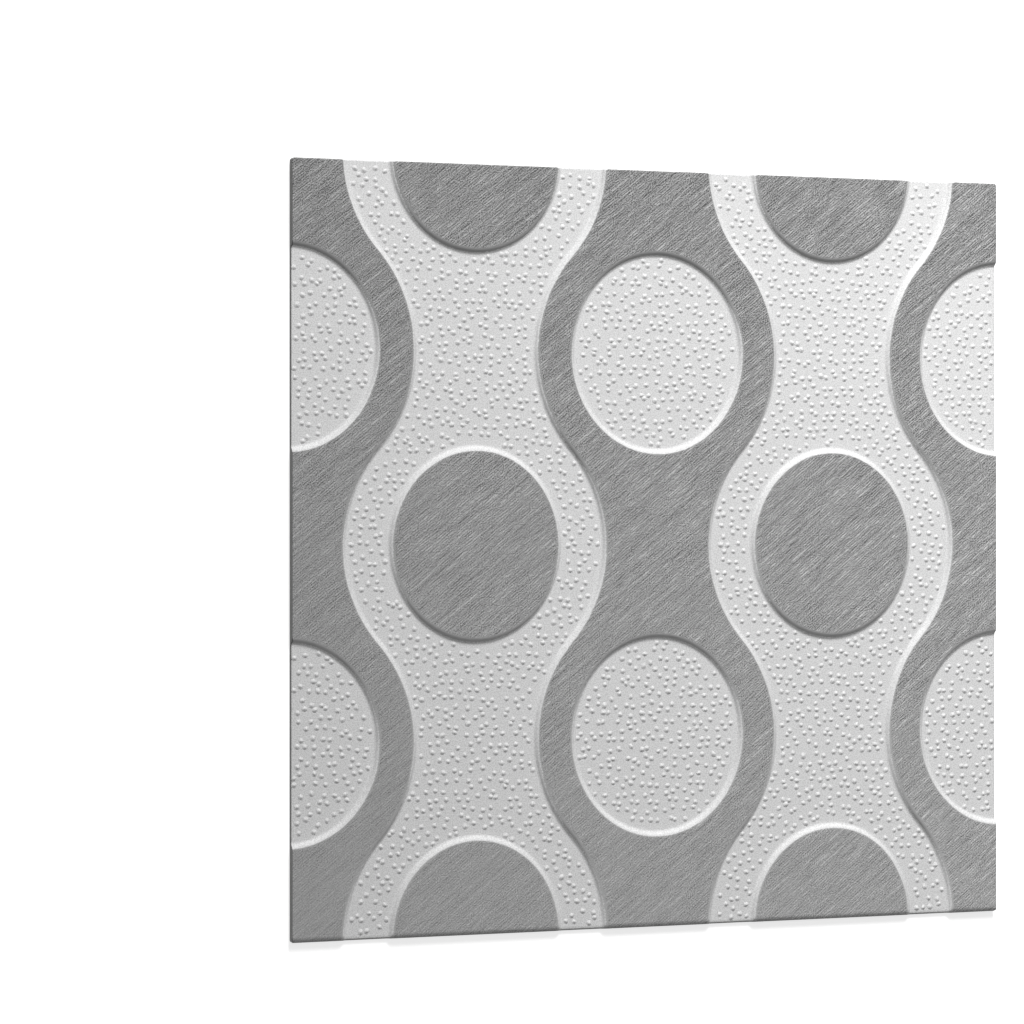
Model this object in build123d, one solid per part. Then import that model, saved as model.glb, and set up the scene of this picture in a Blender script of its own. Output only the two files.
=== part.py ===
"""A square wall panel of polystyrene foam, pressed in one piece.

The panel lies flat with its patterned face up. Its origin is at the middle of the flat back, +X runs to the
pattern's right, +Y to the pattern's top and +Z out of the face. Lengths are in millimetres.

The face has two levels. Waisted bands run from the bottom edge to the top edge on the lower level, with oval
islands of the upper level in their wide places. Oval pockets of the lower level lie in the raised fields
between the bands. A soft sloped wall joins the two levels everywhere. The pattern runs past all four edges,
as if the panel were cut out of a larger sheet. Widths and heights of its motifs are taken along the wall's
top line, where the raised level and the slope would meet if the wall's shoulder were not rounded.
"""

import os
from math import asin, atan2, ceil, cos, floor, hypot, sin, tan

from build123d import *

# The panel and its outer edge, which rolls off further along the bottom
panel_width = 500.0
panel_height = 500.0
thickness = 6.0
corner_radius = 1.8
rim_radius = 0.8
bottom_rounding = 3.6

# The wall between the two levels
relief_depth = 2.85
wall_run = 1.75
shoulder_rounding = 3.4
foot_rounding = 2.4

# The pattern
column_pitch = 252.7
row_pitch = 252.7
island_row_height = 3.3
pocket_width = 120.7
pocket_height = 132.0
island_width = 114.0
island_height = 123.6
band_waist = 84.2
band_belly = 179.2

# How far the pressed sheet reaches past the finished panel, and the pressing tool past the face
sheet_margin = 8.0
tool_margin = 1.0

floor_height = thickness - relief_depth
half_pitch = row_pitch / 2
swing = (band_belly - band_waist) / 2
wave_radius = (half_pitch**2 + swing**2) / (4 * swing)
wave_angle = asin(half_pitch / 2 / wave_radius)


def places(start, pitch, size, length):
    """Middles of equal motifs, one of them at start, that reach onto a sheet of this length."""
    reach = (size + length) / 2
    first, last = ceil((-reach - start) / pitch), floor((reach - start) / pitch)
    return [start + pitch * step for step in range(first, last + 1)]


def inset_at(height):
    """How far the wall stands from its top edge, in plan, at a height."""
    return wall_run * (thickness - height) / relief_depth


def sloped(outline):
    """The solid between the two levels whose section at each height is outline(the wall's inset there)."""
    heights = (floor_height, thickness + tool_margin)
    return loft([Pos(0, 0, height) * outline(inset_at(height)) for height in heights], ruled=True)


def pocket():
    """An oval hollow that narrows towards its floor."""
    return sloped(lambda inset: Ellipse(pocket_width / 2 - inset, pocket_height / 2 - inset))


def island():
    """An oval plateau that widens towards its foot."""
    return sloped(lambda inset: Ellipse(island_width / 2 + inset, island_height / 2 + inset))


def wave_edge(side, inset):
    """One edge of a band, bottom to top, as equal arcs that meet in a common tangent halfway between rows."""
    last = 2 * ceil((panel_height / 2 + sheet_margin) / row_pitch) + 2
    turn = (band_belly + band_waist) / 4 - inset * cos(wave_angle)
    arcs = []
    for step in range(-last, last + 1):
        at_belly = step % 2 == 0
        extreme = (band_belly if at_belly else band_waist) / 2 - inset
        reach = half_pitch / 2 + inset * sin(wave_angle) * (-1 if at_belly else 1)
        middle = island_row_height + step * half_pitch
        start, end = (side * turn, middle - reach), (side * turn, middle + reach)
        arcs.append(ThreePointArc(start, (side * extreme, middle), end))
    return arcs


def band_outline(inset):
    """The outline of a waisted band, inset from the raised fields on both sides."""
    right, left = wave_edge(1, inset), wave_edge(-1, inset)
    ends = [Line(right[0] @ 0, left[0] @ 0), Line(right[-1] @ 1, left[-1] @ 1)]
    return make_face([*right, *left, *ends])


def band():
    """A waisted hollow with an island left standing in each wide place."""
    hollow = sloped(band_outline)
    length = panel_height + 2 * sheet_margin
    for y in places(island_row_height, row_pitch, island_height + 2 * wall_run, length):
        hollow -= Pos(0, y, 0) * island()
    return hollow


def level_edges(sheet, height):
    """The edges of the walls that lie at one level, without the sheet's own outer edges."""
    def inside(edge):
        middle, box = edge @ 0.5, edge.bounding_box()
        level = box.size.Z < 0.01 and abs(middle.Z - height) < 0.01
        off_x = abs(middle.X) < panel_width / 2 + sheet_margin - 0.01
        return level and off_x and abs(middle.Y) < panel_height / 2 + sheet_margin - 0.01
    return sheet.edges().filter_by(inside)


def pressed_sheet():
    """A sheet a little larger than the panel, with the whole pattern pressed into it and its walls softened.

    The wall's two roundings share its slope, and both shrink alike where it is too short for them.
    """
    width, length = panel_width + 2 * sheet_margin, panel_height + 2 * sheet_margin
    sheet = Pos(0, 0, thickness / 2) * Box(width, length, thickness)
    for x in places(0, column_pitch, pocket_width, width):
        for y in places(island_row_height + half_pitch, row_pitch, pocket_height, length):
            sheet -= Pos(x, y, 0) * pocket()
    for x in places(column_pitch / 2, column_pitch, band_belly, width):
        sheet -= Pos(x, 0, 0) * band()
    wall_turn = atan2(relief_depth, wall_run)
    room = 0.97 * hypot(relief_depth, wall_run) / tan(wall_turn / 2)
    share = min(1, room / (shoulder_rounding + foot_rounding))
    for height, rounding in ((thickness, shoulder_rounding), (floor_height, foot_rounding)):
        sheet = fillet(level_edges(sheet, height), share * rounding)
    return sheet


def blank():
    """The finished panel's envelope: rounded corners, a rounded rim and a bottom edge that rolls off further."""
    plate = extrude(RectangleRounded(panel_width, panel_height, corner_radius), thickness)
    rim = min(rim_radius, 0.9 * corner_radius, 0.9 * thickness)
    plate = fillet(plate.edges().group_by(Axis.Z)[-1], rim)
    block = Pos(0, 0, thickness / 2) * Box(panel_width, panel_height, thickness)
    bottom_edge = block.edges().filter_by(Axis.X).group_by(Axis.Z)[-1].sort_by(Axis.Y)[0]
    return plate & fillet(bottom_edge, min(bottom_rounding, 0.9 * thickness))


def wall_panel():
    """The panel cut out of the pressed sheet."""
    return pressed_sheet() & blank()


os.makedirs("parts", exist_ok=True)
export_step(wall_panel(), "parts/wall_panel.step")
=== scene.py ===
"""The looks of a square foam wall panel, pressed in two levels and printed silver-grey on the upper one.

Lengths are in metres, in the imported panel's own frame: it lies flat, its face up, +X to the pattern's right
and +Y to the pattern's top.
"""

from math import radians

import bmesh
import bpy
import numpy as np
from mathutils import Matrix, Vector


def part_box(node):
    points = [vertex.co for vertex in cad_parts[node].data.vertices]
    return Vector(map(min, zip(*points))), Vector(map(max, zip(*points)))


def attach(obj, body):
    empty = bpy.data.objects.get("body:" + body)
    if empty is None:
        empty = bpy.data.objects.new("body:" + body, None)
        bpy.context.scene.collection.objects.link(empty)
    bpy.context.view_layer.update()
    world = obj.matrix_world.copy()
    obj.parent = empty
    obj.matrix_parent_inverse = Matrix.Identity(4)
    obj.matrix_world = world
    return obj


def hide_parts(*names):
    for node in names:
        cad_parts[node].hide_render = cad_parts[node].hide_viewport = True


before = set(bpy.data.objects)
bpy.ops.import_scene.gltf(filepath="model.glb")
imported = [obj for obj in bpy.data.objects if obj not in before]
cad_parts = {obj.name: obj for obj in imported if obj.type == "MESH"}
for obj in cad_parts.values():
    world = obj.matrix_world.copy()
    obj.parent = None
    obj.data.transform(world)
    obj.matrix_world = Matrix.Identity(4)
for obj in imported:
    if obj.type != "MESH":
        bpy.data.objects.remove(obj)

bl_info = {
    "name": "Pressed foam wall panel",
    "version": (1, 0, 0),
    "blender": (4, 5, 0),
    "location": "3D View > Sidebar > Wall panel",
    "description": "Builds a two-level foam wall panel with oval islands, oval pockets and waisted bands",
    "category": "Add Mesh",
}

MM = 0.001
NODE = "wall_panel"

# The mesh's own measure of how far a point lies past its wall's top line
INSET = "wall_inset"

# A flat strip as wide as this goes with each rounding, so that the flats beside it stay flat in the shading
FLAT_STRIP = 0.4 * MM

# Rings in the flat middle of an oval, as shares of its half width in from its edge
MIDDLE_RINGS = np.linspace(1, 0.25, 4)

# A bead's rings, as shares of its radius, and how far beads sink into the lower level
BEAD_RINGS = np.array([0.3, 0.55, 0.78, 1.0])
BEAD_SINK = 0.05 * MM

# Beads' sizes are spread by this share and kept within limits, and each bead is stretched a little one way
BEAD_SPREAD = 0.05
BEAD_LIMITS = (0.85, 1.15)
BEAD_STRETCH = (0.88, 1.12)

# Points closer than this are one point, and a cut passes through points closer to it than this
MERGE_DISTANCE = 2e-6
CUT_DISTANCE = 1e-7

# Faces that meet at more than this angle are shaded with a sharp edge
SHARP_ANGLE = radians(50)

WHITE = (1, 1, 1, 1)
FLOOR_WHITE = (0.80, 0.80, 0.80, 1)

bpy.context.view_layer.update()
panel_low, panel_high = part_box(NODE)


def length(name, description, default):
    """A length in metres that a user can set."""
    return bpy.props.FloatProperty(name=name, description=description, default=default, unit="LENGTH",
                                   precision=5)


def colour(name, description, default):
    """A colour that a user can set."""
    return bpy.props.FloatVectorProperty(name=name, description=description, default=default, size=3,
                                         subtype="COLOR", min=0, max=1)


class ReliefSizes(bpy.types.PropertyGroup):
    """The two levels of the face, the wall between them and the pattern that it follows."""

    relief_depth: length("Relief depth", "From the raised face down to the lower level", 2.85 * MM)
    wall_run: length("Wall run", "Width in plan of the sloped wall before its edges are rounded", 1.75 * MM)
    shoulder_radius: length("Shoulder radius", "Rounding of the wall's upper edge", 3.4 * MM)
    foot_radius: length("Foot radius", "Rounding of the wall's lower edge", 2.4 * MM)
    rim_radius: length("Rim radius", "Rounding of the face's edge along its other sides", 0.8 * MM)
    bottom_rounding: length("Bottom rounding", "Bottom edge's radius at the raised level", 3.6 * MM)
    lower_rounding: length("Lower rounding", "Bottom edge's radius at the lower level", 2.0 * MM)
    corner_radius: length("Corner radius", "Rounding of the panel's corners in plan", 1.8 * MM)
    column_pitch: length("Column pitch", "From one column of pockets to the next", 252.7 * MM)
    row_pitch: length("Row pitch", "From one row of islands to the next", 252.7 * MM)
    island_row_height: length("Island row height", "Middle row of islands above the panel's middle", 3.3 * MM)
    pocket_width: length("Pocket width", "Oval pocket across, at its wall's top line", 120.7 * MM)
    pocket_height: length("Pocket height", "Oval pocket from bottom to top", 132.0 * MM)
    island_width: length("Island width", "Oval island across, at its wall's top line", 114.0 * MM)
    island_height: length("Island height", "Oval island from bottom to top", 123.6 * MM)
    band_waist: length("Band waist", "Narrowest part of a band, between its walls' top lines", 84.2 * MM)
    band_belly: length("Band belly", "Widest part of a band, between its walls' top lines", 179.2 * MM)


class BeadSizes(bpy.types.PropertyGroup):
    """The low round beads that stand all over the lower level."""

    radius: length("Bead radius", "Middling radius of a bead's foot", 2.1 * MM)
    height: length("Bead height", "Middling height of a bead", 1.0 * MM)
    spacing: length("Bead spacing", "Distance between the staggered places that beads stray from", 6.8 * MM)
    stray: bpy.props.FloatProperty(
        name="Stray", description="How far beads stray, as a share of their spacing", default=0.35)
    wall_gap: length("Wall gap", "From a bead's middle to the foot of a wall", 1.2 * MM)
    edge_gap: length("Edge gap", "From a bead's middle to the panel's edge", 1.8 * MM)
    seed: bpy.props.IntProperty(
        name="Seed", description="Another seed scatters the beads differently", default=7)


class FinishColours(bpy.types.PropertyGroup):
    """The foam's own white and the brushed print on the raised level, with painted shade and sheen laid into
    them.
    """

    foam: colour("Foam", "The foam's own matt white", (0.82, 0.82, 0.82))
    thick_print: colour("Thick print", "Print where the brush left most of it", (0.06, 0.06, 0.06))
    thin_print: colour("Thin print", "Print where the brush left least", (0.575, 0.575, 0.575))
    # Bright strokes down to the foam; their growth towards the top and the right is painted glints.
    scratch: colour("Scratches", "Strokes that show the foam through the print", (0.80, 0.80, 0.80))
    print_reach: length("Print reach", "How far the print reaches past the wall's top line", -0.45 * MM)
    # Painted shade: the print reaches further down the walls that face the bottom, away from the lamp.
    painted_wall_shade: length("Print drag", "How much further it reaches on walls that face the bottom", 2.4 * MM)
    print_stray: length("Print stray", "How far the print's edge strays from its line", 0.9 * MM)
    # Painted shade: how far dark print creeps onto rims that face the bottom, away from the lamp.
    rim_shade_creep: length("Rim creep", "How far the sides' print creeps up onto the bottom rim", 0.9 * MM)
    stroke_angle: bpy.props.FloatProperty(
        name="Stroke angle", description="Lean of the brushed strokes from +X", default=radians(37),
        subtype="ANGLE")
    stroke_length: length("Stroke length", "Length of a brushed stroke", 14.0 * MM)
    stroke_pitch: length("Stroke pitch", "From one brushed stroke to the next", 1.55 * MM)
    # Painted sheen: the print is made darker at the top and paler towards the bottom.
    painted_sheen: bpy.props.FloatProperty(
        name="Fading", description="Share by which the print pales from top to bottom", default=0.42)


class StageSettings(bpy.types.PropertyGroup):
    """The camera, the lamp and the plain floor."""

    camera_place: bpy.props.FloatVectorProperty(
        name="Camera place", description="Camera from the middle of the face",
        default=(-0.7718, 0.0244, 1.9413), subtype="TRANSLATION", unit="LENGTH")
    camera_turn: bpy.props.FloatProperty(
        name="Camera turn", description="Camera's turn about +Y", default=radians(-19.03), subtype="ANGLE")
    lens: bpy.props.FloatProperty(
        name="Lens", description="Focal length on a 36 mm sensor, in millimetres", default=110.96)
    key_place: bpy.props.FloatVectorProperty(
        name="Key lamp place", description="Middle of the key lamp", default=(0.07, 1.92, 1.45),
        subtype="TRANSLATION", unit="LENGTH")
    key_aim: bpy.props.FloatVectorProperty(
        name="Key lamp aim", description="Point that the key lamp faces, well to the panel's right",
        default=(4.2, 0, 0), subtype="TRANSLATION", unit="LENGTH")
    key_size: length("Key lamp size", "Side of the square key lamp", 0.9)
    key_power: bpy.props.FloatProperty(
        name="Key lamp power", description="Key lamp's power in watts", default=128.5)
    ambient: bpy.props.FloatProperty(
        name="Ambient", description="Strength of the light from all round", default=0.205)
    floor_glow: bpy.props.FloatProperty(
        name="Floor glow", description="How far the seen floor is lifted to white", default=0.66)
    floor_width: length("Floor width", "Side of the square floor", 12.0)


class Number:
    """A number on a shader socket. Python's operators on it add the Math nodes that work it out."""

    def __init__(self, finish, socket):
        self.finish, self.socket = finish, socket

    def maths(self, operation, first, second):
        """A Math node on two numbers."""
        return self.finish.node("ShaderNodeMath", {"operation": operation}, {0: first, 1: second})

    def __add__(self, other):
        return self.maths("ADD", self, other)

    def __radd__(self, other):
        return self.maths("ADD", other, self)

    def __sub__(self, other):
        return self.maths("SUBTRACT", self, other)

    def __rsub__(self, other):
        return self.maths("SUBTRACT", other, self)

    def __mul__(self, other):
        return self.maths("MULTIPLY", self, other)

    def __rmul__(self, other):
        return self.maths("MULTIPLY", other, self)


class Finish:
    """A material's or world's node tree that grows by calls of node()."""

    def __init__(self, owner):
        owner.use_nodes = True
        self.tree = owner.node_tree
        self.tree.nodes.clear()

    def node(self, kind, settings, sockets, output=0):
        """A new node: first its settings, then a value or a link for each socket. Gives one output."""
        made = self.tree.nodes.new(kind)
        for name, value in settings.items():
            setattr(made, name, value)
        for name, value in sockets.items():
            if isinstance(value, Number):
                self.tree.links.new(value.socket, made.inputs[name])
            else:
                made.inputs[name].default_value = value
        return Number(self, made.outputs[output]) if made.outputs else None

    def place(self):
        """The point's own place on the piece, in metres."""
        return self.node("ShaderNodeTexCoord", {}, {}, "Object")

    def facing(self):
        """The direction that the surface faces, on the piece's own axes."""
        return self.node("ShaderNodeTexCoord", {}, {}, "Normal")

    def axis(self, vector, name):
        """One coordinate of a vector."""
        return self.node("ShaderNodeSeparateXYZ", {}, {"Vector": vector}, name)

    def sine(self, value):
        """The sine of an angle in radians."""
        return self.node("ShaderNodeMath", {"operation": "SINE"}, {0: value})

    def size(self, value):
        """A number without its sign."""
        return self.node("ShaderNodeMath", {"operation": "ABSOLUTE"}, {0: value})

    def larger(self, first, second):
        """The larger of two numbers."""
        return self.node("ShaderNodeMath", {"operation": "MAXIMUM"}, {0: first, 1: second})

    def limited(self, value):
        """A number kept from 0 to 1."""
        return self.node("ShaderNodeClamp", {}, {"Value": value})

    def turned(self, sizes, turn=0.0, shift=(0, 0, 0)):
        """The point's own place in steps of these sizes, along axes turned about +Z."""
        return self.node("ShaderNodeMapping", {"vector_type": "TEXTURE"},
                         {"Vector": self.place(), "Location": shift, "Rotation": (0, 0, turn),
                          "Scale": sizes})

    def noise(self, sizes, turn=0.0, shift=(0, 0, 0), detail=2.0, roughness=0.5):
        """Cloudy noise from 0 to 1 whose blobs have these sizes along axes turned about +Z."""
        place = self.turned(sizes, turn, shift)
        return self.node("ShaderNodeTexNoise", {},
                         {"Vector": place, "Scale": 1.0, "Detail": detail, "Roughness": roughness})

    def step(self, value, low, high):
        """A soft step from 0 at low to 1 at high."""
        return self.node("ShaderNodeMapRange", {"interpolation_type": "SMOOTHSTEP"},
                         {"Value": value, "From Min": low, "From Max": high})

    def mix(self, factor, first, second):
        """One colour turning into another as the factor goes from 0 to 1.

        The node's sockets share their names, so its factor, its two colours and its result go by number.
        """
        return self.node("ShaderNodeMix", {"data_type": "RGBA"}, {0: factor, 6: first, 7: second}, 2)


def opaque(rgb):
    """A colour with full alpha."""
    return (*rgb, 1.0)


def foam_grain(finish):
    """The foam's fine pressed grain, from 0 to 1."""
    return finish.noise((0.8 * MM, 0.8 * MM, 0.8 * MM), detail=1.0, roughness=0.6)


def foam_colour(finish, colours, grain):
    """Matt white with painted shade in the grain's hollows: a little duller where the grain is low."""
    # Painted shade: the grain's hollows are a little duller than the foam's white.
    shaded_hollow = [0.76 * part for part in colours.foam]
    return finish.mix(finish.step(grain, 0.35, 0.65), opaque(shaded_hollow), opaque(colours.foam))


def matt_surface(finish, base, roughness, relief):
    """The nodes that end a matt finish: its colour, its roughness and its fine relief in metres."""
    normal = finish.node("ShaderNodeBump", {}, {"Height": relief, "Distance": 1.0, "Strength": 1.0})
    shader = finish.node("ShaderNodeBsdfPrincipled", {},
                         {"Base Color": base, "Roughness": roughness, "Normal": normal,
                          "Specular IOR Level": 0.3})
    finish.node("ShaderNodeOutputMaterial", {}, {"Surface": shader})


def brush_strokes(finish, colours, lean, shift):
    """Fine parallel waves from -1 to 1, whose direction leans from the brushed one.

    They are the sine of the place across them plus a bend, times a force. Bend and force are noise stretched
    along the strokes, and the shift takes both from another part of the noise.
    """
    long, fine = colours.stroke_length, colours.stroke_pitch
    turn = colours.stroke_angle + lean
    home = (shift, shift / 2, 0)
    bend = 8.0 * finish.noise((1.3 * long, 0.8 * fine, 1.0), turn, home, detail=0.0)
    force = finish.noise((0.22 * long, 0.9 * fine, 1.0), turn, home[::-1], detail=0.0)
    across = finish.axis(finish.turned((1.0, fine / (2 * np.pi), 1.0), turn, home), "Y")
    return finish.sine(across + bend) * finish.step(force, 0.20, 0.60)


def side_masks(finish, colours):
    """Where the surface is not the back, and where it is one of the panel's sides, each from 0 to 1.

    A side stands upright or lies close to the outline's straight lines. Its print creeps onto the rim by a
    share of its full reach that grows as the rim turns to face the bottom, away from the lamp, and that is
    small on level rims. This is painted shade on the bottom rim, and the sides' dark print is partly painted
    shade.
    """
    level_share = 0.15
    close = 0.3 * MM
    half = (panel_high - panel_low) / 2
    across = finish.axis(finish.place(), "X")
    along = finish.axis(finish.place(), "Y")
    upward = finish.axis(finish.facing(), "Z")
    past = finish.larger(finish.size(across) - half.x, finish.size(along) - half.y)
    # Painted shade: the print creeps further onto rims that face the bottom.
    shade_creep = colours.rim_shade_creep * finish.limited(level_share - finish.axis(finish.facing(), "Y"))
    off_back = finish.step(upward, -0.5, -0.3)
    upright = 1 - finish.step(upward, 0.1, 0.3)
    # Painted shade in part: the sides get a dark print.
    return off_back, finish.larger(finish.step(past + shade_creep, -close, 0.0), upright) * off_back


def top_print_and_wall_shade(finish, colours, inset, off_back):
    """Where the print of the raised level lies, from 0 to 1: up to a ragged line near the wall's top line.

    The line lies further down on walls that face the bottom, away from the lamp, which paints shade on them.
    It wanders slowly, and short teeth follow the brushed direction.
    """
    softness = 0.15 * MM
    wander = finish.noise((40 * MM, 40 * MM, 1.0), shift=(4.1, 2.2, 0)) - 0.5
    teeth = brush_strokes(finish, colours, lean=0.0, shift=8.3)
    # Painted shade: darker print further down the walls that face the bottom.
    wall_shade = colours.painted_wall_shade * finish.axis(finish.facing(), "Y")
    stray = colours.print_stray * (1.6 * wander + 0.3 * teeth)
    line = colours.print_reach - wall_shade + stray
    return off_back - off_back * finish.step(inset - line, -softness, softness)


def print_colour_with_painted_light(finish, colours, streaks, brushed, sides_print_and_shade):
    """The print's grey, with bright strokes down to the foam where the streaks are strongest.

    The print is thinner and so paler on the crests of the streaks and in specks. Both are stronger in some
    patches, and towards the top and the right, where the stronger streaks and bright strokes are partly
    painted sheen and glints. It is thicker on the sides, which is partly painted shade, and a painted sheen
    pales it from top to bottom.
    """
    across = finish.axis(finish.place(), "X")
    along = finish.axis(finish.place(), "Y")
    specks = finish.noise((0.75 * MM, 0.75 * MM, 1.0), shift=(0.4, 0, 0), detail=0.0) - 0.5
    cloud = finish.noise((70 * MM, 45 * MM, 1.0), colours.stroke_angle, (1.3, 0, 0))
    patchy = 0.17 + 0.04 * finish.step(cloud, 0.40, 0.60)
    # Painted sheen: the streaks grow stronger towards the top and the right.
    force = brushed * patchy * (1 + 0.8 * across + 1.5 * along)
    # Painted shade: the print is made much thicker, so darker, on the sides.
    plain = 0.5 + 0.18 * (1 - brushed) - 0.55 * sides_print_and_shade
    thinness = finish.limited(plain + force * (1.1 * streaks + 7.0 * specks))
    grey = finish.mix(thinness, opaque(colours.thick_print), opaque(colours.thin_print))
    # Painted glints in part: the bright strokes grow towards the top and the right.
    scratch_glints = finish.step(streaks, 0.8, 1.2) * brushed * (0.3 + 0.7 * across + 0.9 * along)
    scratched_glinting = finish.mix(scratch_glints, grey, opaque(colours.scratch))
    # Painted sheen: the print's grey is scaled darker at the top and paler at the bottom.
    painted_sheen_scale = 1 - colours.painted_sheen / (panel_high - panel_low).y * along
    return finish.node("ShaderNodeVectorMath", {"operation": "SCALE"}, {0: scratched_glinting, "Scale": painted_sheen_scale})


def panel_finish(colours):
    """Matt white foam with a fine grain, and silver-grey print on the raised level and the panel's sides,
    where the dark print is partly painted shade.

    The print is brushed except on the sides and along its edges, where the strokes fade out. It fills part of
    the foam's grain, and the back is left white.
    """
    grain_depth, filled, stroke_depth = 0.14 * MM, 0.6, 0.02 * MM
    second_lean, second_force = radians(7), 0.5
    material = bpy.data.materials.new("printed_foam")
    finish = Finish(material)
    inset = finish.node("ShaderNodeAttribute", {"attribute_name": INSET}, {}, "Fac")
    off_back, sides_print_and_shade = side_masks(finish, colours)
    printed = finish.larger(top_print_and_wall_shade(finish, colours, inset, off_back), sides_print_and_shade)
    brushed = (1 - finish.step(inset, -2.2 * MM, -0.4 * MM)) * (off_back - sides_print_and_shade)
    second = brush_strokes(finish, colours, lean=second_lean, shift=3.1)
    streaks = brush_strokes(finish, colours, lean=0.0, shift=0.7) + second_force * second
    grain = foam_grain(finish)
    base = finish.mix(printed, foam_colour(finish, colours, grain),
                      print_colour_with_painted_light(finish, colours, streaks, brushed, sides_print_and_shade))
    relief = grain_depth * grain * (1 - filled * printed) + stroke_depth * brushed * streaks
    matt_surface(finish, base, 0.62 - 0.12 * printed, relief)
    return material


def foam_finish(colours):
    """Matt white foam with a fine grain, for the beads."""
    grain_depth = 0.14 * MM
    material = bpy.data.materials.new("white_foam")
    finish = Finish(material)
    grain = foam_grain(finish)
    matt_surface(finish, foam_colour(finish, colours, grain), 0.6, grain_depth * grain)
    return material


def wave_radius_and_angle(sizes):
    """The radius of a band's arcs, and how far each turns from its extreme to their common tangent.

    The radius is the squared distance from belly to waist, over four times how far the edge swings sideways.
    """
    half_pitch = sizes.row_pitch / 2
    swing = (sizes.band_belly - sizes.band_waist) / 2
    radius = (half_pitch**2 + swing**2) / (4 * swing)
    return radius, np.arcsin(half_pitch / 2 / radius)


def quarter_wave(sizes, inset, steps):
    """A band's edge from its belly up to its waist: an arc that bulges out, then an equal one that bulges in.

    Both arcs are parallel to the edge at this inset, so their radii are the edge's radius less and plus it.
    Gives (2 * steps + 1, 2) points from the middle of the band, level with the island.
    """
    radius, angle = wave_radius_and_angle(sizes)
    turn = np.linspace(0, angle, steps + 1)
    belly = np.stack([sizes.band_belly / 2 - radius + (radius - inset) * np.cos(turn),
                      (radius - inset) * np.sin(turn)], -1)
    back = turn[-2::-1]
    waist = np.stack([sizes.band_waist / 2 + radius - (radius + inset) * np.cos(back),
                      sizes.row_pitch / 2 - (radius + inset) * np.sin(back)], -1)
    return np.concatenate([belly, waist])


def level_line(start, steps):
    """Evenly spaced points from start, along a level line to the middle of the cell, without start itself."""
    share = np.linspace(1, 0, steps + 1)[1:]
    return np.stack([start[0] * share, np.full(steps, start[1])], -1)


def oval_rings(rim_points, width, height, insets):
    """Ovals inside one another, with one point of each on the ray to each rim point's oval angle.

    An oval's half axes are its stated ones less the inset, and its points share one oval angle.
    """
    angle = np.arctan2(width * rim_points[:, 1], height * rim_points[:, 0])
    across = (width / 2 - insets)[:, None] * np.cos(angle)
    along = (height / 2 - insets)[:, None] * np.sin(angle)
    return np.stack([across, along], -1)


def wall_profile(sizes, steps, guard):
    """The wall's section, as insets from its top line and heights: an arc each for its shoulder and its foot.

    Both arcs turn from level to the wall's slope, which runs straight between them. A flat strip as wide as
    guard goes with the wall on both levels.
    """
    slope = np.arctan2(sizes.relief_depth, sizes.wall_run)
    turn = np.linspace(0, slope, steps + 1)
    shoulder, foot = sizes.shoulder_radius, sizes.foot_radius
    first = -shoulder * np.tan(slope / 2)
    last = sizes.wall_run + foot * np.tan(slope / 2)
    insets = np.concatenate([[first - guard], first + shoulder * np.sin(turn),
                             last - foot * np.sin(turn[::-1]), [last + guard]])
    drops = np.concatenate([[0], shoulder * (1 - np.cos(turn)),
                            sizes.relief_depth - foot * (1 - np.cos(turn[::-1])), [sizes.relief_depth]])
    return insets, panel_high.z - drops


def raised_to(points, heights, insets):
    """Plan points with each row's height, and with how far the row lies past the wall's top line."""
    rows = np.stack([heights, insets], -1)[:, None]
    return np.concatenate([points, np.broadcast_to(rows, (*points.shape[:2], 2))], -1)


def padded(values, before, after):
    """Values with their first one repeated before them and their last one after them."""
    return np.pad(values, (before, after), mode="edge")


def between(first, last, rings):
    """Evenly spaced lines from the first line of points to the last, both left out."""
    share = np.linspace(0, 1, rings + 2)[1:-1, None, None]
    return first * (1 - share) + last * share


def grid_faces(rows, columns):
    """The quads of a grid of points, as rows of four point numbers."""
    corner = np.arange(rows * columns).reshape(rows, columns)
    faces = np.stack([corner[:-1, :-1], corner[:-1, 1:], corner[1:, 1:], corner[1:, :-1]], -1)
    return faces.reshape(-1, 4)


def cell_copies(grid, middles):
    """A quarter cell's grid in all four quarters of every cell, as one array of points and one of faces."""
    rows, columns, _ = grid.shape
    signs = np.array([(1, 1, 1, 1), (-1, 1, 1, 1), (-1, -1, 1, 1), (1, -1, 1, 1)], float)
    quarters = grid.reshape(1, -1, 4) * signs[:, None, :]
    shifts = np.pad(middles, ((0, 0), (0, 2)))
    points = (quarters[None] + shifts[:, None, None, :]).reshape(-1, 4)
    starts = np.arange(len(middles) * len(signs)) * rows * columns
    faces = (grid_faces(rows, columns)[None] + starts[:, None, None]).reshape(-1, 4)
    return points, faces


def places(start, pitch, cell_length, panel_length):
    """Middles of equal cells, one of them at start, that touch a panel of this length."""
    far = (cell_length + panel_length) / 2
    return start + pitch * np.arange(np.ceil((-far - start) / pitch), np.floor((far - start) / pitch) + 1)


def cell_middles(sizes, column_start, row_start):
    """The middles of all cells of one kind that touch the panel."""
    width, depth = (panel_high - panel_low)[:2]
    across = places(column_start, sizes.column_pitch, sizes.column_pitch, width)
    along = places(row_start, sizes.row_pitch, sizes.row_pitch, depth)
    return np.stack(np.meshgrid(across, along), -1).reshape(-1, 2)


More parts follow.
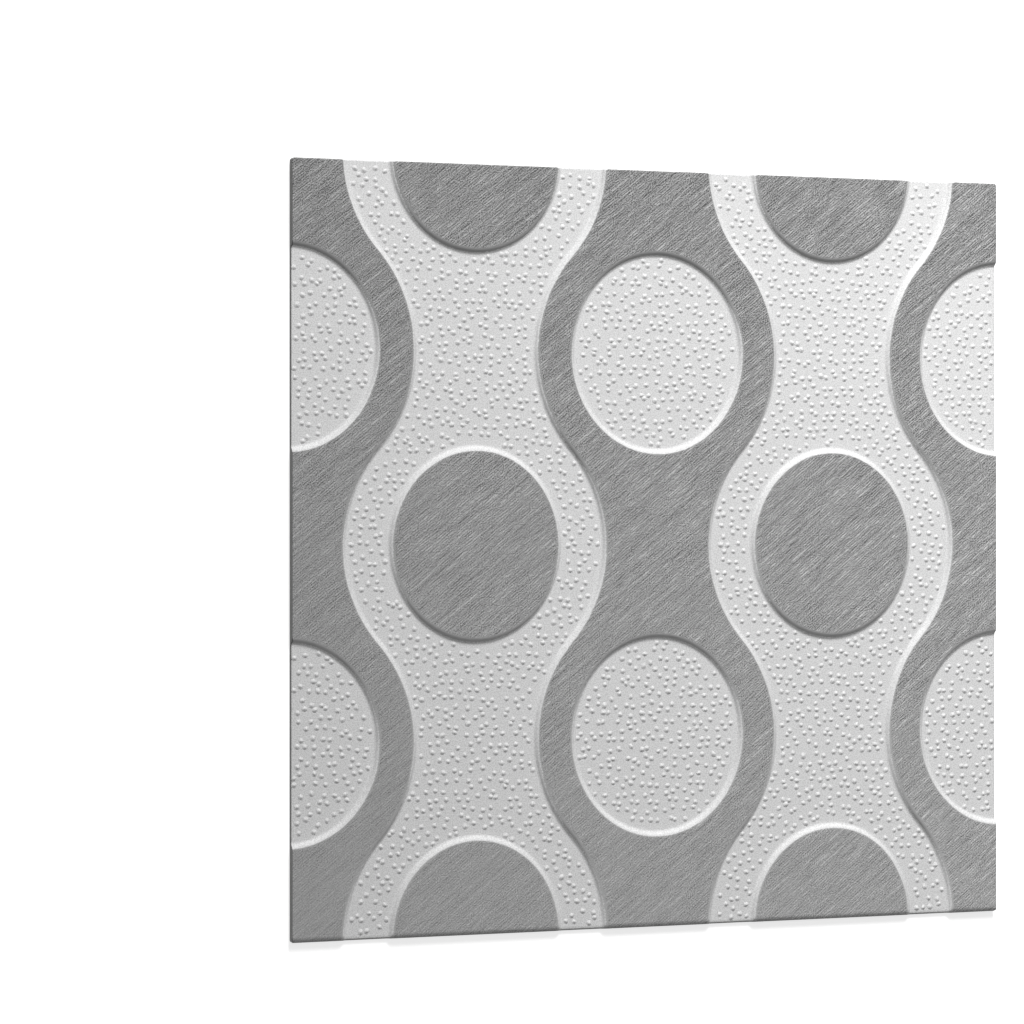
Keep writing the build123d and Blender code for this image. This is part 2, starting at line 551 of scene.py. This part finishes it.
def band_cell(sizes, profile, steps, joint_steps):
    """A quarter of one band cell: the band's own wall as one grid, and the island with its floor as another.

    The grids' columns run along the band, and the second one's rows from the island's middle out to the wall.
    """
    insets, heights = profile
    edge = np.stack([quarter_wave(sizes, inset, steps) for inset in insets])
    foot = edge[-1]
    outer = np.concatenate([foot, level_line(foot[-1], joint_steps)])
    island = oval_rings(outer, sizes.island_width, sizes.island_height, -insets)
    top = oval_rings(outer, sizes.island_width, sizes.island_height, sizes.island_width / 2 * MIDDLE_RINGS)
    floor = between(island[-1:], outer[None], 3)
    rows = np.concatenate([top, island, floor, outer[None]])
    before, after = len(top), len(floor) + 1
    return [raised_to(edge, heights, insets),
            raised_to(rows, padded(heights, before, after), padded(insets, before, after))]


def pocket_cell(sizes, profile, steps, joint_steps):
    """A quarter of one pocket cell: the pocket's floor and wall, and the raised field round it, in one grid.

    The grid's columns run round the pocket, and its rows from the cell's outer line to the pocket's middle.
    """
    insets, heights = profile
    wave = quarter_wave(sizes, insets[0], steps)[::-1]
    edge = np.array([sizes.column_pitch / 2, sizes.row_pitch / 2]) - wave
    outer = np.concatenate([edge, level_line(edge[-1], joint_steps)])
    pocket = oval_rings(outer, sizes.pocket_width, sizes.pocket_height, insets)
    bottom = oval_rings(outer, sizes.pocket_width, sizes.pocket_height,
                        sizes.pocket_width / 2 * MIDDLE_RINGS[::-1])
    field = between(outer[None], pocket[:1], 3)
    rows = np.concatenate([outer[None], field, pocket, bottom])
    before, after = len(field) + 1, len(bottom)
    return [raised_to(rows, padded(heights, before, after), padded(insets, before, after))]


def rim_depth(points, corner_radius):
    """How far plan points lie inside the panel's outline, a rectangle with round corners."""
    half = np.array((panel_high - panel_low)[:2]) / 2
    over = np.abs(points[:, :2]) - (half - corner_radius)
    round_part = np.hypot(*np.maximum(over, 0).T)
    return corner_radius - np.where(over.min(1) > 0, round_part, over.max(1))


def arc_drop(depth, radius):
    """How far a quarter circle of this radius has dropped, at a depth inside the edge that it ends at."""
    short = np.clip(radius - depth, 0, radius)
    return radius - np.sqrt(radius**2 - short**2)


def arc_depths(radius, steps):
    """Depths inside an edge at which a quarter circle turns by equal angles, from the edge inwards."""
    return radius * (1 - np.cos(np.linspace(0, np.pi / 2, steps + 1)[1:]))


def rounded_rim(points, sizes):
    """The heights of the face's points once its rim is rounded.

    The bottom edge rolls off on a wider quarter circle, whose radius grows from the lower level to the raised
    one. A point there takes the lower of the two heights.
    """
    height = points[:, 2]
    raised = 1 - (panel_high.z - height) / sizes.relief_depth
    roll = sizes.lower_rounding + (sizes.bottom_rounding - sizes.lower_rounding) * raised
    drop = np.maximum(arc_drop(rim_depth(points, sizes.corner_radius), sizes.rim_radius),
                      arc_drop(points[:, 1] - panel_low.y, roll))
    return height - drop


def cut(mesh, place, outward, keep_outside):
    """Cuts every face of a bmesh along a plane, and drops what lies beyond it unless that is kept."""
    bmesh.ops.bisect_plane(mesh, geom=[*mesh.verts, *mesh.edges, *mesh.faces], dist=CUT_DISTANCE,
                           plane_co=place, plane_no=outward, clear_outer=not keep_outside)


def trim_to_panel(mesh, sizes, rim_steps, corner_steps):
    """Cuts the pattern to the panel's outline, with extra cuts that the rounded rim then bends at."""
    half = (panel_high - panel_low) / 2
    sides = [Vector((1, 0, 0)), Vector((-1, 0, 0)), Vector((0, 1, 0)), Vector((0, -1, 0))]

    def cut_at(side, depth, keep_outside):
        cut(mesh, Vector((side.x * (half.x - depth), side.y * (half.y - depth), 0)), side, keep_outside)

    for side in sides:
        cut_at(side, 0, False)
    for depth in [*arc_depths(sizes.rim_radius, rim_steps), sizes.rim_radius + FLAT_STRIP]:
        for side in sides:
            cut_at(side, depth, True)
    for depth in [*arc_depths(sizes.bottom_rounding, rim_steps), sizes.bottom_rounding + FLAT_STRIP]:
        cut_at(sides[-1], depth, True)
    for angle in (np.arange(4 * corner_steps) + 0.5) * np.pi / 2 / corner_steps:
        outward = Vector((np.cos(angle), np.sin(angle), 0))
        middle = Vector((np.sign(outward.x) * (half.x - sizes.corner_radius),
                         np.sign(outward.y) * (half.y - sizes.corner_radius), 0))
        cut(mesh, middle + outward * sizes.corner_radius, outward, False)


def close_back(mesh):
    """Drops the sides from the rim's edge to the back's plane at zero height, and closes the flat back."""
    rim = [edge for edge in mesh.edges if edge.is_boundary]
    sides = bmesh.ops.extrude_edge_only(mesh, edges=rim)["geom"]
    lower_ends = [part for part in sides if isinstance(part, bmesh.types.BMVert)]
    bmesh.ops.scale(mesh, vec=(1, 1, 0), verts=lower_ends)
    back = [edge for edge in mesh.edges if edge.is_boundary]
    bmesh.ops.contextual_create(mesh, geom=back)
    bmesh.ops.recalc_face_normals(mesh, faces=mesh.faces)


def press_rim(mesh, sizes):
    """Lowers the face's points near the panel's edge to its rounded rim. The back's points stay in place."""
    off_back = 0.1 * MM
    flat = np.empty(3 * len(mesh.vertices))
    mesh.vertices.foreach_get("co", flat)
    points = flat.reshape(-1, 3)
    on_face = points[:, 2] > panel_low.z + off_back
    points[on_face, 2] = rounded_rim(points[on_face], sizes)
    mesh.vertices.foreach_set("co", points.ravel())
    mesh.update()


def new_piece(name, mesh, material):
    """An object at the origin that rides on the panel's body and stands for the plain solid."""
    mesh.materials.append(material)
    piece = bpy.data.objects.new(name, mesh)
    bpy.context.scene.collection.objects.link(piece)
    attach(piece, "root")
    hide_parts(NODE)


def mesh_from(name, points, faces):
    """A mesh of these points and faces."""
    mesh = bpy.data.meshes.new(name)
    mesh.from_pydata(points.tolist(), [], faces.tolist())
    return mesh


def wave_half_width(sizes, along):
    """A band's half width at heights above an island's row, from the same two arcs as its edge."""
    radius, _ = wave_radius_and_angle(sizes)
    half_pitch = sizes.row_pitch / 2
    step = np.abs((along + half_pitch) % sizes.row_pitch - half_pitch)
    belly = sizes.band_belly / 2 - radius + np.sqrt(radius**2 - np.minimum(step, half_pitch / 2)**2)
    rest = np.minimum(half_pitch - step, half_pitch / 2)
    waist = sizes.band_waist / 2 + radius - np.sqrt(radius**2 - rest**2)
    return np.where(step < half_pitch / 2, belly, waist)


def nearest_cell(values, start, pitch):
    """Distances from the middle of the nearest cell of a row."""
    return (values - start + pitch / 2) % pitch - pitch / 2


def oval_share(across, along, width, height):
    """1 on an oval, less inside it and more outside."""
    return np.hypot(across / (width / 2), along / (height / 2))


def on_floor(sizes, points, gap):
    """Which plan points lie on the lower level, gap or more from its walls: in pockets, then in bands."""
    back = wall_profile(sizes, steps=1, guard=0)[0][-1] + gap
    across, along = points.T
    pocket_x = nearest_cell(across, 0, sizes.column_pitch)
    pocket_y = nearest_cell(along, sizes.island_row_height + sizes.row_pitch / 2, sizes.row_pitch)
    in_pocket = oval_share(pocket_x, pocket_y, sizes.pocket_width - 2 * back,
                           sizes.pocket_height - 2 * back) < 1
    band_x = nearest_cell(across, sizes.column_pitch / 2, sizes.column_pitch)
    band_y = nearest_cell(along, sizes.island_row_height, sizes.row_pitch)
    in_band = np.abs(band_x) < wave_half_width(sizes, band_y) - back
    off_island = oval_share(band_x, band_y, sizes.island_width + 2 * back,
                            sizes.island_height + 2 * back) > 1
    return in_pocket, in_band & off_island


def scatter(sizes, beads):
    """Places all over the panel: staggered rows, with every point moved at random inside a small disc."""
    random = np.random.default_rng(beads.seed)
    width, depth = (panel_high - panel_low)[:2]
    step = np.array([beads.spacing, beads.spacing * np.sqrt(3) / 2])
    counts = np.ceil(np.array([width, depth]) / step).astype(int) + 1
    column, row = np.meshgrid(np.arange(counts[0]), np.arange(counts[1]))
    points = np.stack([column + (row % 2) / 2, row], -1).reshape(-1, 2) * step
    points -= np.array([width, depth]) / 2
    turn = random.uniform(0, 2 * np.pi, len(points))
    away = beads.stray * beads.spacing * np.sqrt(random.uniform(0, 1, len(points)))
    points += away[:, None] * np.stack([np.cos(turn), np.sin(turn)], -1)
    return points[rim_depth(points, sizes.corner_radius) > beads.edge_gap]


def bead_mesh(name, points, beads, floor_height, seed, segments=10):
    """Low domes as one mesh. A dome's height falls as a squared cosine from its middle to its foot.

    The grid's two parameters are the angle round a dome and the way down it. A dome is stretched a little one
    way and squeezed the other, and its last ring closes it just below the lower level.
    """
    random = np.random.default_rng(seed)
    count = len(points)
    radius = beads.radius * random.normal(1, BEAD_SPREAD, count).clip(*BEAD_LIMITS)
    height = beads.height * random.normal(1, BEAD_SPREAD, count).clip(*BEAD_LIMITS)
    stretch = random.uniform(*BEAD_STRETCH, count)[:, None, None]
    lean = random.uniform(0, np.pi, count)
    foot_height = floor_height - BEAD_SINK
    turn = np.arange(segments) * 2 * np.pi / segments
    across = BEAD_RINGS[:, None] * np.cos(turn) * stretch
    along = BEAD_RINGS[:, None] * np.sin(turn) / stretch
    cosine, sine = np.cos(lean)[:, None, None], np.sin(lean)[:, None, None]
    size = radius[:, None, None]
    x = points[:, 0, None, None] + size * (across * cosine - along * sine)
    y = points[:, 1, None, None] + size * (across * sine + along * cosine)
    tall = np.cos(BEAD_RINGS * np.pi / 2)**2
    z = foot_height + height[:, None, None] * tall[:, None] + np.zeros_like(x)
    rings = np.stack([np.clip(x, panel_low.x, panel_high.x), np.clip(y, panel_low.y, panel_high.y), z], -1)
    crown = np.stack([*points.T, foot_height + height], -1)[:, None]
    base = np.stack([*points.T, np.full(count, foot_height)], -1)[:, None]
    solid = np.concatenate([crown, rings.reshape(count, -1, 3), base], 1)
    ring = np.arange(segments)
    after = np.roll(ring, -1)
    top = np.stack([np.zeros(segments, int), 1 + ring, 1 + after], -1)
    down = np.arange(len(BEAD_RINGS) - 1)[:, None] * segments + 1
    quads = np.stack([down + ring, down + segments + ring, down + segments + after, down + after], -1)
    last = 1 + (len(BEAD_RINGS) - 1) * segments
    under = np.stack([np.full(segments, solid.shape[1] - 1), last + after, last + ring], -1)
    starts = np.arange(count)[:, None, None] * solid.shape[1]
    faces = []
    for part in (top, quads.reshape(-1, 4), under):
        faces += (part[None] + starts).reshape(-1, part.shape[1]).tolist()
    mesh = bpy.data.meshes.new(name)
    mesh.from_pydata(solid.reshape(-1, 3).tolist(), [], faces)
    return mesh


class WALLPANEL_OT_camera(bpy.types.Operator):
    """Place the camera that looks down on the panel"""

    bl_idname = "wallpanel.camera"
    bl_label = "Camera"

    def execute(self, context):
        stage = context.scene.wallpanel_stage
        camera = bpy.data.objects.new("camera", bpy.data.cameras.new("camera"))
        context.scene.collection.objects.link(camera)
        camera.data.lens = stage.lens
        camera.location = Vector(stage.camera_place) + Vector((0, 0, panel_high.z))
        camera.rotation_euler = (0, stage.camera_turn, 0)
        context.scene.camera = camera
        return {"FINISHED"}


class WALLPANEL_OT_stage(bpy.types.Operator):
    """Lay the pale floor and hang the soft lamp"""

    bl_idname = "wallpanel.stage"
    bl_label = "Floor and lamp"

    def execute(self, context):
        stage = context.scene.wallpanel_stage
        half = stage.floor_width / 2
        corners = np.array([(-half, -half, 0), (half, -half, 0), (half, half, 0), (-half, half, 0)])
        mesh = mesh_from("floor", corners, np.array([[0, 1, 2, 3]]))
        mesh.materials.append(floor_finish(stage.floor_glow))
        floor = bpy.data.objects.new("floor", mesh)
        context.scene.collection.objects.link(floor)
        lamp = bpy.data.lights.new("key", "AREA")
        lamp.size = stage.key_size
        lamp.energy = stage.key_power
        key = bpy.data.objects.new("key", lamp)
        key.location = stage.key_place
        backward = Vector(stage.key_place) - Vector(stage.key_aim)
        key.rotation_euler = backward.to_track_quat("Z", "Y").to_euler()
        context.scene.collection.objects.link(key)
        world = context.scene.world or bpy.data.worlds.new("studio")
        context.scene.world = world
        light_world(world, stage.ambient)
        return {"FINISHED"}


def seen(finish):
    """1 for what the camera sees, straight on, in a gloss or through glass, and 0 for light on surfaces."""
    rays = [finish.node("ShaderNodeLightPath", {}, {}, name)
            for name in ("Is Camera Ray", "Is Glossy Ray", "Is Transmission Ray")]
    return rays[0] + rays[1] + rays[2]


def floor_finish(glow):
    """A white floor that keeps the panel's shadow. What the camera sees of it is lifted to white."""
    material = bpy.data.materials.new("pale_floor")
    finish = Finish(material)
    matt = finish.node("ShaderNodeBsdfDiffuse", {}, {"Color": FLOOR_WHITE})
    lift = finish.node("ShaderNodeEmission", {}, {"Color": WHITE, "Strength": glow * seen(finish)})
    both = finish.node("ShaderNodeAddShader", {}, {0: matt, 1: lift})
    finish.node("ShaderNodeOutputMaterial", {}, {"Surface": both})
    return material


def light_world(world, ambient):
    """Even light from all round, and plain white where the camera sees past the floor."""
    finish = Finish(world)
    strength = ambient + (1 - ambient) * seen(finish)
    shader = finish.node("ShaderNodeBackground", {}, {"Color": WHITE, "Strength": strength})
    finish.node("ShaderNodeOutputWorld", {}, {"Surface": shader})


class WALLPANEL_OT_panel(bpy.types.Operator):
    """Build the pressed panel with its printed face, sides and flat back"""

    bl_idname = "wallpanel.panel"
    bl_label = "Pressed panel"

    def execute(self, context):
        sizes = context.scene.wallpanel_relief
        profile = wall_profile(sizes, steps=6, guard=FLAT_STRIP)
        half_pitch = sizes.row_pitch / 2
        bands = cell_middles(sizes, sizes.column_pitch / 2, sizes.island_row_height)
        pockets = cell_middles(sizes, 0, sizes.island_row_height + half_pitch)
        band_grids = band_cell(sizes, profile, steps=26, joint_steps=14)
        pocket_grids = pocket_cell(sizes, profile, steps=26, joint_steps=12)
        parts = [cell_copies(grid, bands) for grid in band_grids]
        parts += [cell_copies(grid, pockets) for grid in pocket_grids]
        starts = np.cumsum([0] + [len(points) for points, _ in parts])
        points = np.concatenate([points for points, _ in parts])
        faces = np.concatenate([faces + start for (_, faces), start in zip(parts, starts)])
        mesh = mesh_from("panel", points[:, :3], faces)
        mesh.attributes.new(INSET, "FLOAT", "POINT").data.foreach_set("value", points[:, 3])
        work = bmesh.new()
        work.from_mesh(mesh)
        bmesh.ops.remove_doubles(work, verts=work.verts, dist=MERGE_DISTANCE)
        trim_to_panel(work, sizes, rim_steps=5, corner_steps=5)
        close_back(work)
        work.to_mesh(mesh)
        work.free()
        press_rim(mesh, sizes)
        mesh.shade_smooth()
        mesh.set_sharp_from_angle(angle=SHARP_ANGLE)
        new_piece("panel", mesh, panel_finish(context.scene.wallpanel_finish))
        return {"FINISHED"}


class WALLPANEL_OT_beads(bpy.types.Operator):
    """Scatter the raised beads over the lower level"""

    bl_idname = "wallpanel.beads"
    bl_label = "Beads"

    def execute(self, context):
        sizes, beads = context.scene.wallpanel_relief, context.scene.wallpanel_beads
        points = scatter(sizes, beads)
        material = foam_finish(context.scene.wallpanel_finish)
        floor_height = panel_high.z - sizes.relief_depth
        for kind, kept in zip(("pocket_beads", "band_beads"), on_floor(sizes, points, beads.wall_gap)):
            mesh = bead_mesh(kind, points[kept], beads, floor_height, beads.seed + len(kind))
            mesh.shade_smooth()
            new_piece(kind, mesh, material)
        return {"FINISHED"}


class WALLPANEL_PT_sidebar(bpy.types.Panel):
    """Lists the panel's sizes, colours and steps"""

    bl_idname = "WALLPANEL_PT_sidebar"
    bl_label = "Wall panel"
    bl_space_type = "VIEW_3D"
    bl_region_type = "UI"
    bl_category = "Wall panel"

    def draw(self, context):
        for name in GROUPS:
            group = getattr(context.scene, name)
            box = self.layout.box()
            for setting in group.__annotations__:
                box.prop(group, setting)
        for step in STEPS:
            self.layout.operator(step.bl_idname)


GROUPS = {
    "wallpanel_relief": ReliefSizes,
    "wallpanel_beads": BeadSizes,
    "wallpanel_finish": FinishColours,
    "wallpanel_stage": StageSettings,
}
STEPS = (WALLPANEL_OT_camera, WALLPANEL_OT_stage, WALLPANEL_OT_panel, WALLPANEL_OT_beads)


def register():
    """Registers the classes and gives the scene its groups of settings."""
    for group in (*GROUPS.values(), *STEPS, WALLPANEL_PT_sidebar):
        bpy.utils.register_class(group)
    for name, group in GROUPS.items():
        setattr(bpy.types.Scene, name, bpy.props.PointerProperty(type=group))


def unregister():
    """Takes the settings off the scene and the classes out of Blender."""
    for name in GROUPS:
        delattr(bpy.types.Scene, name)
    for group in (WALLPANEL_PT_sidebar, *reversed(STEPS), *reversed(GROUPS.values())):
        bpy.utils.unregister_class(group)


def main():
    """Builds the stage and the panel."""
    register()
    bpy.context.scene.view_settings.view_transform = "Standard"
    bpy.ops.wallpanel.camera()
    bpy.ops.wallpanel.stage()
    bpy.ops.wallpanel.panel()
    bpy.ops.wallpanel.beads()


if __name__ == "__main__":
    main()
